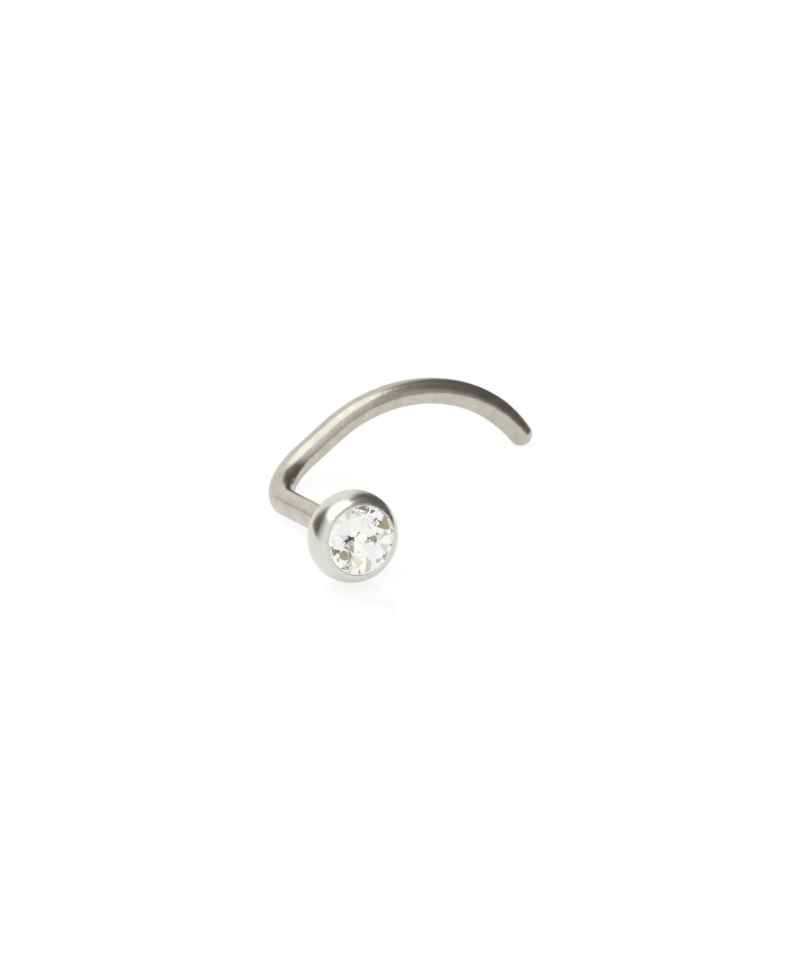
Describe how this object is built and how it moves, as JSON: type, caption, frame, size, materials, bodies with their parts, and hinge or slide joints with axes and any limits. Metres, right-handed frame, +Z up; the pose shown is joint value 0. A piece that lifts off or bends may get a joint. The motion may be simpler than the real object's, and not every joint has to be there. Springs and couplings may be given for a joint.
{
  "type": "nose stud",
  "caption": "Nose stud: a round faceted crystal in a smooth metal cup on a thin post, bent square into an arched hook with a rounded tip.",
  "frame": {"origin": "on the surface that the stud rests on, under the middle of its box", "axes": "+X from the cup towards the hook's tip, +Y from the crystal's face back along the post, +Z up"},
  "size_m": [0.0104, 0.008, 0.0028],
  "materials": {
    "cup_metal": "titanium, finely turned and polished, with faint rings round its axis",
    "crystal_glass": "clear cut glass with a silvered back, pale with small grey, olive and cream glints",
    "wire_metal": "satin titanium, warm grey, with fine tumbled grain"
  },
  "bodies": {
    "root": {"bezel_cup": "cup_metal", "crystal": "crystal_glass", "wire": "wire_metal"}
  },
  "joints": []
}
